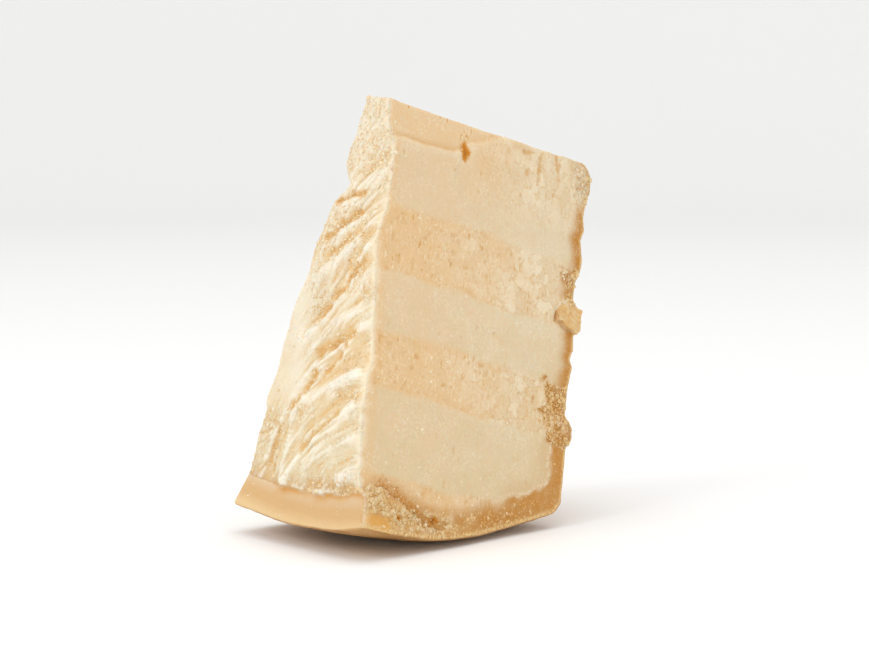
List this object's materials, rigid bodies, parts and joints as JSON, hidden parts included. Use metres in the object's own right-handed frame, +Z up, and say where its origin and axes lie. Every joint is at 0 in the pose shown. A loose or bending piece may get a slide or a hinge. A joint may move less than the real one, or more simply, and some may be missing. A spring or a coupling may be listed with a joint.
{
  "type": "hard cheese chunk",
  "caption": "Chunk of hard aged cheese with one smooth cut face, broken grainy faces and rind on two sides, standing tip up on its round rind.",
  "frame": {"origin": "middle of the small flat spot under the round rind that the chunk rests on, at bench height", "axes": "+Z up to the tip; +X towards the wheel's flat rind, along the wheel's axis, which dips 15 degrees that way; -Y towards the smooth cut face, which leans back 12 degrees"},
  "size_m": [0.1537, 0.0835, 0.1755],
  "materials": {
    "cheese": "matte, slightly oily hard cheese paste, turning to tan dry rind at the outside"
  },
  "bodies": {
    "root": {"cheese_chunk": "cheese"}
  },
  "joints": []
}
